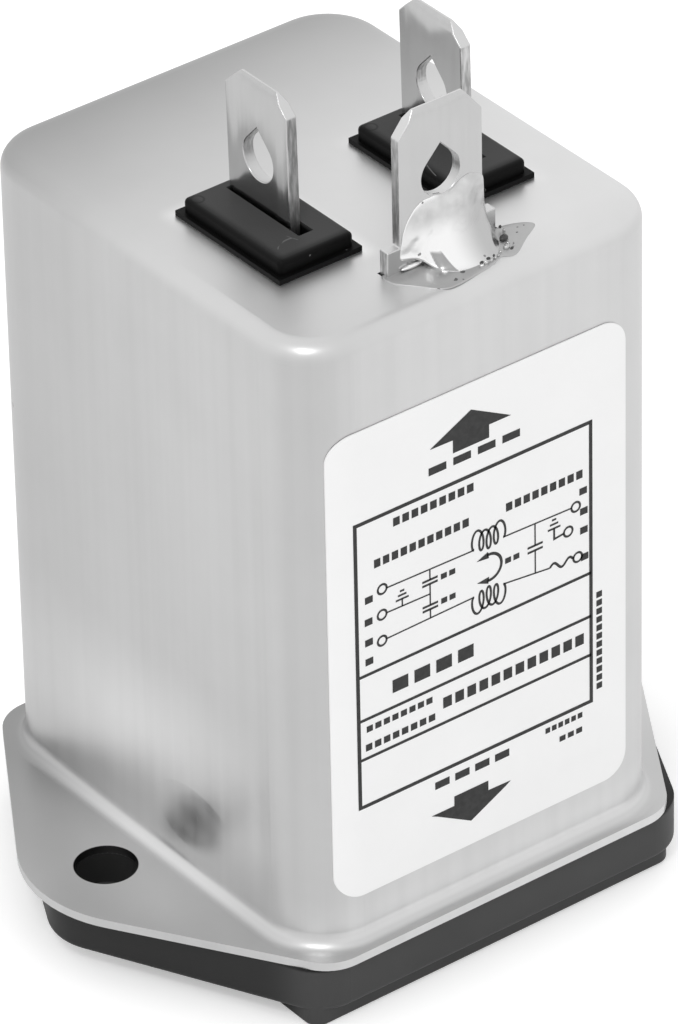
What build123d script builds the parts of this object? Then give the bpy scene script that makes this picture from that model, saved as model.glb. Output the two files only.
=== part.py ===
from build123d import *
import math
import os

# Mains filter with an appliance inlet: a drawn steel can closed by a moulded
# inlet. Z = 0 is the front face of the inlet bezel, +Z runs back to the tabs.
# X is the line through the two screw ears. All sizes are in millimetres.

# --- Appliance inlet ---------------------------------------------------------
recess_x = 24.4            # recess for the mating connector
recess_y = 16.9
recess_depth = 16.5
recess_chamfer = 4.9       # the two keyed corners on the earth side
recess_corner_r = 1.5
side_wall = 1.25           # moulding beside the recess
earth_side_wall = 1.2      # moulding outside the keyed corners
mid_wall = 2.2             # moulding between the recess and the fuse bay
fuse_side_wall = 2.9       # moulding outside the fuse bay
back_wall = 1.6
bay_y = 8.2                # bay of the fuse drawer
bay_x = 25.0
bezel_h = 1.1
bezel_lip = 0.2            # how far the bezel stands outside the can, X
bezel_corner_r = 1.0
bezel_edge_r = 0.25
inlet_flange_t = 3.3
inlet_ear_reach = 4.3      # from the screw axis out to the moulded ear's tip
inlet_ear_r = 4.0
inlet_flange_flat = 24.5   # straight long side of the moulded flange
inlet_shift_x = 0.3        # the moulded outline lies this far off the can's middle
inlet_shift_y = -0.25
inlet_flange_lip = 0.55    # how far it stands outside the can, Y
inlet_flange_corner_r = 3.2
inlet_edge_r = 0.5
notch_x = 7.0              # notch for prying the drawer out
notch_depth = 4.0

# --- Drawn steel can ---------------------------------------------------------
sheet_t = 0.6
fit_gap = 0.15             # moulded inlet body inside the can
can_drawn = 44.0           # height above the seat of the flange
can_corner_r = 4.1
can_top_r = 1.3
can_base_r = 1.0
can_mouth_r = 1.1
can_flange_lip = 1.15
can_flange_flat = 23.5
can_flange_corner_r = 3.0
can_ear_reach = 4.87
can_ear_r = 8.8
hole_spacing = 36.0
ear_hole_r = 2.05
ear_sink_r = 3.0
dent_y = -4.45             # staking dent that locks the moulding in the can
dent_z = 4.1               # above the seat of the flange
dent_length = 9.0
dent_height = 5.2
dent_depth = 0.2
dent_rim = 0.005           # the bell's edge ends this far outside the wall

# --- Blade tabs and their insulators -----------------------------------------
tab_w = 6.3
load_tab_w = 6.15          # the two load tabs are a little narrower
tab_t = 0.8
tab_rise = 9.9             # above the can top
tab_tail = 6.4             # below the can top
tab_tail_w = 4.0
tab_shoulder_w = 8.0
tab_shoulder_h = 1.0
tab_tip_x = 1.3            # cut corners of the tip
tab_tip_z = 1.25
tab_bevel_t = 0.3          # the tip's bevel takes this much off each face
tab_bevel_z = 0.6
tab_hole_r = 1.47
tab_hole_drop = 5.3        # from the tip down to the round part of the hole
tab_hole_point = 2.15      # from there up to the point of the hole
tab_spacing = 13.3         # between the two insulators
tab_offset_x = 0.6         # each tab stands off the middle of its insulator
tab_offset_y = 1.0
insulator_x = 5.6
insulator_y = 9.75
insulator_y0 = -3.63
insulator_rise = 1.3
insulator_depth = 3.4
insulator_brim = 0.33
insulator_brim_t = 0.35
insulator_corner = 0.35
insulator_round = 0.3
pocket_x = 1.1             # loose pocket around the tab, in the insulator's top
pocket_y = 7.25
pocket_depth = 1.0
slot_gap = 0.05
earth_tab_y = -11.87
earth_tab_rise = 10.75
earth_hole_drop = 4.8
earth_tab_tail = 5.4
earth_tab_tail_w = 5.0
earth_shoulder = 1.0
earth_shoulder_rise = 1.7
earth_slot_gap = 0.25
solder_r = 3.4
solder_h = 4.35
solder_side_r = 1.7
solder_side_h = 2.3
solder_toe = 0.25
solder_x = 0.65            # the blob's middle stands off the tab's middle
solder_swell = 1.1         # radius of the hollow profile over its height

# --- Contacts, fuse and drawer -----------------------------------------------
pin_t = 2.0
pin_w = 4.0
pin_pitch = 14.0           # line to neutral
pin_row = 2.0              # both rows lie this far from the recess centre
pin_short = 2.3            # line and neutral stop this far behind the rim
earth_pin_short = 1.3
pin_tip = 0.45
pin_stub = 0.8
tail_t = 1.0
tail_w = 3.0
tail_h = 4.2
tail_hole_r = 0.7
drawer_gap = 0.15
drawer_sink = 0.25         # the drawer front lies behind the bezel face
drawer_front_t = 2.0
drawer_wall = 1.0
drawer_tail = 3.1          # drawer length behind the fuse axis
drawer_lip_x = 6.0
drawer_lip_t = 1.2
fuse_length = 20.0
fuse_r = 2.5
fuse_bore_r = 1.9
fuse_cap_t = 0.3
fuse_cap_r = 2.65
fuse_cap_length = 5.0
fuse_z = 11.5
fuse_wire_r = 0.15
fuse_gap = 0.1             # cap in its cradle, and contact to cap
fuse_glass_gap = 0.03      # glass tube inside its caps
contact_t = 0.4
contact_w = 3.5
contact_bow = 0.85
contact_tail = 4.0
contact_reach = 4.0

# --- Filter parts inside the can ---------------------------------------------
core_r = 10.0
core_bore_r = 5.5
core_h = 8.0
core_edge_r = 0.8
choke_y = 1.5
choke_drop = 13.6          # choke centre below the can top
copper_d = 1.2
copper_bend = 0.72         # centre-line radius of a bend
copper_rise = 1.9          # leads rise this far above the turns before they turn
copper_drop = 2.9          # the line lead drops this far below the X capacitor's top
copper_hook = 0.4          # end of a lead: starts this far below a tab's tail
copper_lap = 1.4           # and lies along the tail this far
turns = 10
turn_pitch = 14.0          # degrees
turn_gap = 0.06
divider_t = 1.0
x_cap_x = 13.0
x_cap_y = 6.0
choke_room = 2.0           # for leads, between the X capacitor and the choke
x_cap_y0 = 3.5
x_cap_pitch = 10.0
lead_d = 0.8
lead_bend = 0.7
y_cap_r = 4.5
y_cap_t = 4.0
y_cap_edge_r = 1.2
y_cap_x0 = 7.5
y_cap_y0 = -12.3
y_cap_drop = 13.0
y_cap_pitch = 5.0
earth_wire_d = 1.8
link_wire_d = 1.8
link_rise = 6.4            # hook-up wires cross this far above the back wall
liner_t = 0.3
liner_gap = 0.1
liner_short = 1.5
label_t = 0.1
label_gap = 0.03
label_x = 22.8
label_z = 34.0
label_x0 = -0.75
label_z0 = 20.5            # above the seat of the flange
label_corner_r = 1.8

# --- Worked-out places -------------------------------------------------------
body_x = recess_x + 2 * side_wall
body_y = earth_side_wall + recess_y + mid_wall + bay_y + fuse_side_wall
can_x = body_x + 2 * (fit_gap + sheet_t)
can_y = body_y + 2 * (fit_gap + sheet_t)
z_panel = bezel_h + inlet_flange_t
z_seat = z_panel + sheet_t
z_top = z_seat + can_drawn
z_roof = z_top - sheet_t
z_back = recess_depth + back_wall
recess_y0 = -body_y / 2 + earth_side_wall + recess_y / 2
mid_wall_y0 = recess_y0 + recess_y / 2 + mid_wall / 2
bay_y0 = mid_wall_y0 + mid_wall / 2 + bay_y / 2
pin_row_y = recess_y0 + pin_row
earth_pin_y = recess_y0 - pin_row
choke = Vector(0, choke_y, z_top - choke_drop)
turn_low = choke.Z - core_h / 2 - turn_gap - copper_d / 2
turn_high = choke.Z + core_h / 2 + turn_gap + copper_d / 2
x_cap_top = turn_low - copper_d / 2 - choke_room
y_cap_z0 = z_top - y_cap_drop
insulator_low = z_top - insulator_depth
tab_low = z_top - tab_tail
contact_x = fuse_length / 2 + fuse_gap + contact_t / 2 + contact_bow
earth_tab_face = earth_tab_y - tab_t / 2

os.makedirs("parts", exist_ok=True)


def save(piece, label):
    piece.part.label = label
    export_step(piece.part, f"parts/{label}.step")


def ear_outline(flat, across, corner_r, ear_r, reach):
    """Flange outline: two rounded ears joined to the long sides by tangents."""
    with BuildSketch() as outline:
        with Locations((reach - ear_r, 0), (ear_r - reach, 0)):
            Circle(ear_r)
        with GridLocations(flat, across - 2 * corner_r, 2, 2):
            Circle(corner_r)
        make_hull()
    return outline.sketch


def dent(side, skin):
    """Soft dent of a round-nosed punch: a bell turned about X, then stretched along Y."""
    rim = dent_height / 2
    with BuildPart() as bell:
        with BuildSketch(Plane(origin=(0, 0, 0), x_dir=(0, 0, 1), z_dir=(0, 1, 0))):
            with BuildLine():
                flank = Spline((0, -side * dent_depth), (rim, side * dent_rim),
                               tangents=((1, 0), (1, side * dent_rim)))
                Polyline(flank @ 1, (rim, side * dent_depth), (0, side * dent_depth), flank @ 0)
            make_face()
        revolve(axis=Axis.X)
        scale(by=(1, dent_length / dent_height, 1))
    return bell.part.moved(Location((side * (can_x / 2 - skin), dent_y, z_seat + dent_z)))


def dent_skin(side):
    """The sheet that the punch pushes inwards, cut off inside the can wall."""
    with BuildPart() as skin:
        add(dent(side, sheet_t))
        with BuildSketch(Plane.YZ.offset(side * (can_x - sheet_t) / 2)):
            with Locations((dent_y, z_seat + dent_z)):
                Rectangle(2 * dent_length, 3 * dent_height)
        extrude(amount=-side * dent_length, mode=Mode.INTERSECT)
    return skin.part


def wire(points, diameter, bend_r):
    """Round wire along straight runs joined by tangent bends."""
    with BuildPart() as strand:
        with BuildLine() as route:
            FilletPolyline(*points, radius=bend_r)
        with BuildSketch(Plane(origin=route.line @ 0, z_dir=route.line % 0)):
            Circle(diameter / 2)
        sweep(path=route.line)
    return strand


# --- Steel can: flange and cup drawn from one sheet ---------------------------
can_reach = hole_spacing / 2 + can_ear_reach
can_across = can_y + 2 * can_flange_lip
inner_x = can_x - 2 * sheet_t
inner_y = can_y - 2 * sheet_t
inner_r = can_corner_r - sheet_t
insulator_spots = [(side * tab_spacing / 2, insulator_y0) for side in (-1, 1)]

with BuildPart() as can:
    with BuildSketch(Plane.XY.offset(z_panel)):
        add(ear_outline(can_flange_flat, can_across, can_flange_corner_r, can_ear_r, can_reach))
    extrude(amount=sheet_t)
    with BuildSketch(Plane.XY.offset(z_panel)):
        RectangleRounded(can_x, can_y, can_corner_r)
    extrude(amount=z_top - z_panel)
    fillet(can.faces().sort_by(Axis.Z)[-1].edges(), can_top_r)
    foot = can.edges().filter_by_position(Axis.Z, z_seat, z_seat)
    foot = foot.filter_by_position(Axis.X, -can_x / 2, can_x / 2)
    foot = foot.filter_by_position(Axis.Y, -can_y / 2, can_y / 2)
    fillet(foot, can_base_r)
    with BuildSketch(Plane.XY.offset(z_panel)):
        RectangleRounded(inner_x, inner_y, inner_r)
    extrude(amount=z_roof - z_panel, mode=Mode.SUBTRACT)
    roof = can.faces().filter_by_position(Axis.Z, z_roof, z_roof)
    fillet(roof.edges(), can_top_r - sheet_t)
    mouth = can.faces().sort_by(Axis.Z)[0].inner_wires()[0]
    fillet(mouth.edges(), can_mouth_r)
    for side in (-1, 1):
        add(dent_skin(side))
        add(dent(side, 0), mode=Mode.SUBTRACT)
    with BuildSketch(Plane.XY.offset(z_roof)):
        with Locations(*insulator_spots):
            Rectangle(insulator_x + 2 * slot_gap, insulator_y + 2 * slot_gap)
        with Locations((0, earth_tab_y)):
            Rectangle(tab_w + 2 * (earth_shoulder + earth_slot_gap), tab_t + 2 * slot_gap)
    extrude(amount=sheet_t, mode=Mode.SUBTRACT)
    with Locations((-hole_spacing / 2, 0, z_seat), (hole_spacing / 2, 0, z_seat)):
        Hole(ear_hole_r, depth=sheet_t)
save(can, "can")

# --- Moulded inlet: flange, bezel, connector recess and fuse bay --------------
pin_spots = {
    "line_pin": (pin_pitch / 2, pin_row_y, pin_short),
    "neutral_pin": (-pin_pitch / 2, pin_row_y, pin_short),
    "earth_pin": (0, earth_pin_y, earth_pin_short),
}

with BuildPart() as inlet_housing:
    with BuildSketch(Plane.XY.offset(bezel_h)):
        with Locations((inlet_shift_x, inlet_shift_y)):
            add(ear_outline(inlet_flange_flat, can_y + 2 * inlet_flange_lip,
                            inlet_flange_corner_r, inlet_ear_r,
                            hole_spacing / 2 + inlet_ear_reach))
    extrude(amount=inlet_flange_t)
    fillet(inlet_housing.faces().sort_by(Axis.Z)[0].edges(), inlet_edge_r)
    with BuildSketch():
        with Locations((0, inlet_shift_y)):
            RectangleRounded(can_x + 2 * bezel_lip, can_y, bezel_corner_r)
    extrude(amount=z_panel)
    fillet(inlet_housing.faces().sort_by(Axis.Z)[0].edges(), bezel_edge_r)
    with BuildSketch(Plane.XY.offset(z_panel)):
        RectangleRounded(body_x, body_y, inner_r - fit_gap)
    extrude(amount=z_back - z_panel)
    with BuildSketch():
        with BuildSketch(mode=Mode.PRIVATE) as recess:
            with Locations((0, recess_y0)):
                Rectangle(recess_x, recess_y)
            chamfer(recess.vertices().group_by(Axis.Y)[0], recess_chamfer)
            fillet(recess.vertices(), recess_corner_r)
        add(recess.sketch)
        with Locations((0, bay_y0)):
            Rectangle(bay_x, bay_y)
    extrude(amount=recess_depth, mode=Mode.SUBTRACT)
    with BuildSketch():
        with Locations((0, mid_wall_y0)):
            Rectangle(notch_x, mid_wall)
    extrude(amount=notch_depth, mode=Mode.SUBTRACT)
    with BuildSketch(Plane.XY.offset(recess_depth)):
        with Locations(*[(x, y) for x, y, _ in pin_spots.values()]):
            Rectangle(pin_t, pin_w)
        with Locations((-contact_x, bay_y0), (contact_x, bay_y0)):
            Rectangle(contact_t, contact_w)
    extrude(amount=back_wall, mode=Mode.SUBTRACT)
    for side in (-1, 1):
        add(dent(side, sheet_t + fit_gap), mode=Mode.SUBTRACT)
        with Locations(Plane(origin=(side * hole_spacing / 2, 0, bezel_h), z_dir=(0, 0, -1))):
            CounterSinkHole(ear_hole_r, ear_sink_r, depth=inlet_flange_t)
save(inlet_housing, "inlet_housing")

# --- Inlet pins: flat blades with a soldering tail behind the moulding --------
for label, (x, y, short) in pin_spots.items():
    stub_top = z_back + pin_stub
    with BuildPart() as pin:
        with BuildSketch(Plane.XY.offset(short)):
            with Locations((x, y)):
                Rectangle(pin_t, pin_w)
        extrude(amount=stub_top - short)
        chamfer(pin.faces().sort_by(Axis.Z)[0].edges(), pin_tip)
        with BuildSketch(Plane.XY.offset(stub_top)):
            with Locations((x, y)):
                Rectangle(tail_t, tail_w)
        extrude(amount=tail_h)
        with BuildSketch(Plane.YZ.offset(x - tail_t / 2)):
            with Locations((y, stub_top + tail_h - 2 * tail_hole_r)):
                Circle(tail_hole_r)
        extrude(amount=tail_t, mode=Mode.SUBTRACT)
    save(pin, label)

# --- Fuse drawer with its fuse ------------------------------------------------
tray_x = fuse_length - 2 * fuse_gap - 2 * contact_t
tray_y = bay_y - 4 * drawer_gap
front_z = drawer_sink + drawer_front_t
spare_z = (front_z + drawer_wall + fuse_z - fuse_cap_r - drawer_wall) / 2
spare_h = fuse_z - fuse_cap_r - 2 * drawer_wall - front_z
lip_y = mid_wall / 2 + drawer_gap + drawer_wall

with BuildPart() as fuse_drawer:
    with BuildSketch(Plane.XY.offset(drawer_sink)):
        with Locations((0, bay_y0)):
            Rectangle(bay_x - 2 * drawer_gap, bay_y - 2 * drawer_gap)
    extrude(amount=drawer_front_t)
    with BuildSketch(Plane.XY.offset(drawer_sink)):
        with Locations((0, mid_wall_y0 + mid_wall / 2 + drawer_wall - lip_y / 2)):
            Rectangle(drawer_lip_x, lip_y)
    extrude(amount=drawer_lip_t)
    with BuildSketch(Plane.XY.offset(front_z)):
        with Locations((0, bay_y0)):
            Rectangle(tray_x, tray_y)
    extrude(amount=fuse_z + drawer_tail - front_z)
    with BuildSketch(Plane.YZ.offset(-tray_x / 2)):
        with Locations((bay_y0, fuse_z)):
            Circle(fuse_cap_r + fuse_gap / 2)
        with Locations((bay_y0, fuse_z + drawer_tail / 2)):
            Rectangle(2 * fuse_r - drawer_wall, drawer_tail)
    extrude(amount=tray_x, mode=Mode.SUBTRACT)
    with BuildSketch(Plane.XZ.offset(-bay_y0 - bay_y / 2)):
        with Locations((0, spare_z)):
            RectangleRounded(tray_x - 4 * drawer_wall, spare_h, drawer_wall / 2)
    extrude(amount=bay_y - drawer_wall - 2 * drawer_gap, mode=Mode.SUBTRACT)
save(fuse_drawer, "fuse_drawer")

glass_half = fuse_length / 2 - fuse_cap_t
with BuildPart() as fuse_glass:
    with BuildSketch(Plane.YZ.offset(-glass_half)):
        with Locations((bay_y0, fuse_z)):
            Circle(fuse_r)
            Circle(fuse_bore_r, mode=Mode.SUBTRACT)
    extrude(amount=2 * glass_half)
save(fuse_glass, "fuse_glass")

with BuildPart() as fuse_element:
    with BuildSketch(Plane.YZ.offset(-glass_half)):
        with Locations((bay_y0, fuse_z)):
            Circle(fuse_wire_r)
    extrude(amount=2 * glass_half)
save(fuse_element, "fuse_element")

for side, label in ((-1, "fuse_cap_left"), (1, "fuse_cap_right")):
    with BuildPart() as fuse_cap:
        with BuildSketch(Plane.YZ.offset(side * fuse_length / 2)):
            with Locations((bay_y0, fuse_z)):
                Circle(fuse_cap_r)
        extrude(amount=-side * fuse_cap_length)
        with BuildSketch(Plane.YZ.offset(side * glass_half)):
            with Locations((bay_y0, fuse_z)):
                Circle(fuse_r + fuse_glass_gap)
        extrude(amount=-side * fuse_cap_length, mode=Mode.SUBTRACT)
    save(fuse_cap, label)

# --- Fuse contacts: bowed strips that press on the ends of the fuse -----------
for side, label in ((-1, "fuse_contact_left"), (1, "fuse_contact_right")):
    bow_x = side * (contact_x - contact_bow)
    with BuildPart() as contact:
        with BuildSketch(Plane.XZ.offset(-bay_y0 - contact_w / 2)):
            with BuildLine():
                Polyline((side * contact_x, z_back + contact_tail),
                         (side * contact_x, fuse_z + contact_reach - contact_bow),
                         (bow_x, fuse_z),
                         (side * contact_x, fuse_z - contact_reach))
            trace(line_width=contact_t)
        extrude(amount=contact_w)
    save(contact, label)

# --- Tab insulators: moulded bushes that drop into the can top ----------------
for (x0, y0), label in zip(insulator_spots, ("line_insulator", "neutral_insulator")):
    tab_x = x0 + tab_offset_x
    tab_y = y0 + tab_offset_y
    pocket_far_y = tab_y + load_tab_w / 2 + slot_gap
    pocket_far_x = tab_x + tab_t / 2 + slot_gap
    with BuildPart() as insulator:
        with BuildSketch(Plane.XY.offset(insulator_low)):
            with Locations((x0, y0)):
                Rectangle(insulator_x, insulator_y)
        extrude(amount=insulator_depth + insulator_rise)
        fillet(insulator.edges().filter_by(Axis.Z), insulator_corner)
        fillet(insulator.faces().sort_by(Axis.Z)[-1].edges(), insulator_round)
        with BuildSketch(Plane.XY.offset(z_top)):
            with Locations((x0, y0)):
                Rectangle(insulator_x + 2 * insulator_brim, insulator_y + 2 * insulator_brim)
        extrude(amount=insulator_brim_t)
        with BuildSketch(Plane.XY.offset(insulator_low)):
            with Locations((tab_x, tab_y)):
                Rectangle(tab_t + 2 * slot_gap, load_tab_w + 2 * slot_gap)
        extrude(amount=insulator_depth + insulator_rise, mode=Mode.SUBTRACT)
        with BuildSketch(Plane.XY.offset(z_top + insulator_rise)):
            with Locations((pocket_far_x - pocket_x / 2, pocket_far_y - pocket_y / 2)):
                Rectangle(pocket_x, pocket_y)
        extrude(amount=-pocket_depth, mode=Mode.SUBTRACT)
    save(insulator, label)


def blade(plane, width, rise, tip, tail, tail_w, shoulder_w, shoulder_low, shoulder_high):
    """Flat quick-connect tab, drawn on a plane whose Y is up from the can top."""
    half = width / 2
    with BuildPart() as tab:
        with BuildSketch(plane):
            with Locations((0, (rise + shoulder_low) / 2)):
                Rectangle(width, rise - shoulder_low)
        extrude(amount=tab_t / 2, both=True)
        with BuildSketch(plane):
            for side in (-1, 1):
                with BuildLine():
                    Polyline((side * half, rise), (side * (half - tab_tip_x), rise),
                             (side * half, rise - tab_tip_z), close=True)
                make_face()
        extrude(amount=tab_t, both=True, mode=Mode.SUBTRACT)
        crown = tab.faces().sort_by(Axis.Z)[-1]
        chamfer(crown.edges().group_by(Edge.length)[-1], tab_bevel_t, tab_bevel_z,
                reference=crown)
        with BuildSketch(plane):
            with Locations((0, (shoulder_low + shoulder_high) / 2)):
                Rectangle(shoulder_w, shoulder_high - shoulder_low)
            with Locations((0, (shoulder_low - tail) / 2)):
                Rectangle(tail_w, shoulder_low + tail)
        extrude(amount=tab_t / 2, both=True)
        with BuildSketch(plane):
            with Locations((0, tip)):
                Circle(tab_hole_r)
            angle = math.acos(tab_hole_r / tab_hole_point)
            touch = (tab_hole_r * math.sin(angle), tip + tab_hole_r * math.cos(angle))
            with BuildLine():
                Polyline((0, tip), touch, (0, tip + tab_hole_point),
                         (-touch[0], touch[1]), close=True)
            make_face()
        extrude(amount=tab_t, both=True, mode=Mode.SUBTRACT)
    return tab


# --- Load-side tabs: their shoulders bear against the insulators --------------
for (x0, y0), label in zip(insulator_spots, ("line_tab", "neutral_tab")):
    stand = Plane(origin=(x0 + tab_offset_x, y0 + tab_offset_y, z_top),
                  x_dir=(0, 1, 0), z_dir=(1, 0, 0))
    tab = blade(stand, load_tab_w, tab_rise, tab_rise - tab_hole_drop, tab_tail, tab_tail_w,
                tab_shoulder_w, -insulator_depth - tab_shoulder_h, -insulator_depth)
    save(tab, label)

# --- Earth tab: stands in a slot of the can and is soldered to it -------------
stand = Plane(origin=(0, earth_tab_y, z_top), x_dir=(1, 0, 0), z_dir=(0, -1, 0))
earth_tab = blade(stand, tab_w, earth_tab_rise, earth_tab_rise - earth_hole_drop, earth_tab_tail,
                  earth_tab_tail_w, tab_w + 2 * earth_shoulder, -earth_shoulder_rise,
                  earth_shoulder_rise)
save(earth_tab, "earth_tab")


def solder_cone(centre, radius, height, arc):
    """Concave solder fillet: a quarter-circle profile turned about a vertical axis."""
    up = Vector(0, 0, 1)
    with BuildPart() as cone:
        with BuildSketch(Plane(origin=centre, x_dir=(1, 0, 0), z_dir=(0, -1, 0))):
            with BuildLine():
                Line((0, 0), (radius, 0))
                Line((radius, 0), (radius, solder_toe))
                RadiusArc((radius, solder_toe), (solder_toe, height), solder_swell * height)
                Line((solder_toe, height), (0, height))
                Line((0, height), (0, 0))
            make_face()
        revolve(axis=Axis(centre, up), revolution_arc=arc)
    return cone.part


with BuildPart() as earth_solder:
    front = Vector(solder_x, earth_tab_face, z_top)
    flank = Vector(tab_w / 2, earth_tab_face, z_top)
    add(solder_cone(front, solder_r, solder_h, 360))
    add(solder_cone(flank, solder_side_r, solder_side_h, 360))
    with BuildSketch(Plane.XY.offset(z_top)):
        with Locations((0, earth_tab_face - solder_r)):
            Rectangle(4 * solder_r, 2 * solder_r)
    extrude(amount=solder_h, mode=Mode.INTERSECT)
save(earth_solder, "earth_solder")

# --- Common-mode choke: ring core with two windings and a divider -------------
core_mid_r = (core_r + core_bore_r) / 2
choke_axis = Axis(choke, (0, 0, 1))
with BuildPart() as choke_core:
    with BuildSketch(Plane(origin=choke, x_dir=(1, 0, 0), z_dir=(0, -1, 0))):
        with Locations((core_mid_r, 0)):
            RectangleRounded(core_r - core_bore_r, core_h, core_edge_r)
    revolve(axis=choke_axis)
save(choke_core, "choke_core")

with BuildPart() as choke_divider:
    with BuildSketch(Plane.XY.offset(choke.Z - core_h / 2)):
        with Locations((0, choke_y)):
            Rectangle(divider_t, 2 * (core_bore_r - turn_gap))
    extrude(amount=core_h)
save(choke_divider, "choke_divider")

end_angle = turn_pitch * (turns - 1) / 2
end_x = core_mid_r * math.cos(math.radians(end_angle))
end_y = core_mid_r * math.sin(math.radians(end_angle))
contact_face_x = contact_x - (contact_t + copper_d) / 2 - turn_gap
pin_face_x = (pin_pitch + tail_t + copper_d) / 2 + turn_gap
bridge_z = (x_cap_top + turn_low - copper_d / 2) / 2
tab_face = [x0 + tab_offset_x - side * ((tab_t + copper_d) / 2 + turn_gap)
            for (x0, _), side in zip(insulator_spots, (-1, 1))]
winding_leads = {
    "line_winding": (
        -1,
        [(-end_x, choke_y + end_y, turn_low),
         (-end_x, bay_y0, x_cap_top),
         (-contact_face_x, bay_y0, x_cap_top - copper_drop),
         (-contact_face_x, bay_y0, z_back + copper_d)],
        [(-end_x, choke_y - end_y, turn_high),
         (-end_x, choke_y - end_y, turn_high + copper_rise),
         (tab_face[0], insulator_y0 + tab_offset_y, tab_low - copper_hook),
         (tab_face[0], insulator_y0 + tab_offset_y, tab_low + copper_lap)]),
    "neutral_winding": (
        1,
        [(end_x, choke_y + end_y, turn_low),
         (end_x, choke_y + end_y, bridge_z),
         (-pin_face_x, pin_row_y, bridge_z),
         (-pin_face_x, pin_row_y, z_back + pin_stub + copper_d)],
        [(end_x, choke_y - end_y, turn_high),
         (end_x, choke_y - end_y, turn_high + copper_rise),
         (tab_face[1], insulator_y0 + tab_offset_y, tab_low - copper_hook),
         (tab_face[1], insulator_y0 + tab_offset_y, tab_low + copper_lap)]),
}
for label, (side, start, finish) in winding_leads.items():
    with BuildPart() as winding:
        for count in range(turns):
            angle = math.radians(count * turn_pitch - end_angle)
            outward = Vector(side * math.cos(angle), math.sin(angle), 0)
            across = outward.cross(Vector(0, 0, 1))
            with BuildSketch(Plane(origin=choke, x_dir=outward, z_dir=across)):
                with Locations((core_mid_r, 0)):
                    RectangleRounded(core_r - core_bore_r + 2 * (turn_gap + copper_d),
                                     core_h + 2 * (turn_gap + copper_d), copper_d)
                    RectangleRounded(core_r - core_bore_r + 2 * turn_gap,
                                     core_h + 2 * turn_gap, core_edge_r, mode=Mode.SUBTRACT)
            extrude(amount=copper_d / 2, both=True)
        add(wire(start, copper_d, copper_bend).part)
        add(wire(finish, copper_d, copper_bend).part)
    save(winding, label)

# --- Capacitors: one across the line, two from the load side to earth ---------
with BuildPart() as x_capacitor:
    with BuildSketch(Plane.XY.offset(z_back)):
        with Locations((0, x_cap_y0)):
            RectangleRounded(x_cap_x, x_cap_y, lead_d / 2)
    extrude(amount=x_cap_top - z_back)
save(x_capacitor, "x_capacitor")

for side, label in ((-1, "x_lead_line"), (1, "x_lead_neutral")):
    rise_z = (x_cap_top + bridge_z) / 2
    meet_y = choke_y + end_y - (copper_d + lead_d) / 2 - turn_gap
    lead = wire([(side * x_cap_pitch / 2, x_cap_y0, x_cap_top),
                 (side * x_cap_pitch / 2, x_cap_y0, rise_z),
                 (side * end_x, meet_y, rise_z)], lead_d, lead_bend / 2)
    save(lead, label)

y_cap_names = ((-1, "line", insulator_spots[0]), (1, "neutral", insulator_spots[1]))
for side, name, (x0, y0) in y_cap_names:
    hub_x = side * y_cap_x0
    with BuildPart() as y_capacitor:
        with BuildSketch(Plane.XZ.offset(-y_cap_y0 - y_cap_t / 2)):
            with Locations((hub_x, y_cap_z0)):
                Circle(y_cap_r)
        extrude(amount=y_cap_t)
        fillet(y_capacitor.edges(), y_cap_edge_r)
    save(y_capacitor, f"y_capacitor_{name}")
    lead_z = y_cap_z0 + math.sqrt(y_cap_r ** 2 - ((y_cap_pitch - lead_d) / 2) ** 2)
    for step, foot, end in (
            (-1, "earth", (side * (earth_tab_tail_w / 2 + lead_d / 2 + turn_gap), earth_tab_y,
                           z_top - earth_tab_tail + lead_d)),
            (1, "tab", (x0 + tab_offset_x,
                        y0 + tab_offset_y - tab_tail_w / 2 - lead_d / 2 - turn_gap,
                        tab_low + lead_d))):
        lead_x = hub_x + side * step * y_cap_pitch / 2
        lead = wire([(lead_x, y_cap_y0, lead_z), (lead_x, y_cap_y0, end[2]), end],
                    lead_d, lead_bend)
        save(lead, f"y_lead_{name}_{foot}")

# --- Hook-up wires -------------------------------------------------------------
link_pin_x = (pin_pitch + tail_t + link_wire_d) / 2 + turn_gap
link_contact_x = contact_x - (contact_t + link_wire_d) / 2 - turn_gap
link_z = z_back + link_rise
line_link = wire([(link_pin_x, pin_row_y, z_back + pin_stub + link_wire_d / 2),
                  (link_pin_x, pin_row_y, link_z),
                  (link_contact_x, bay_y0, link_z),
                  (link_contact_x, bay_y0, z_back + link_wire_d / 2)],
                 link_wire_d, link_wire_d)
save(line_link, "line_link_wire")

earth_x = -(tail_t + earth_wire_d) / 2 - turn_gap
earth_y = earth_tab_face - earth_wire_d / 2 - turn_gap
earth_wire = wire([(earth_x, earth_pin_y, z_back + pin_stub + earth_wire_d / 2),
                   (earth_x, earth_pin_y, link_z),
                   (earth_x, earth_y, link_z + 2 * earth_wire_d),
                   (earth_x, earth_y, z_roof - earth_wire_d)],
                  earth_wire_d, earth_wire_d)
save(earth_wire, "earth_wire")

# --- Insulating liner: a sleeve of board between the parts and the can --------
with BuildPart() as liner:
    with BuildSketch(Plane.XY.offset(z_back)):
        RectangleRounded(inner_x - 2 * liner_gap, inner_y - 2 * liner_gap, inner_r - liner_gap)
        RectangleRounded(inner_x - 2 * (liner_gap + liner_t), inner_y - 2 * (liner_gap + liner_t),
                         inner_r - liner_gap - liner_t, mode=Mode.SUBTRACT)
    extrude(amount=z_roof - liner_short - z_back)
save(liner, "liner")

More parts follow.
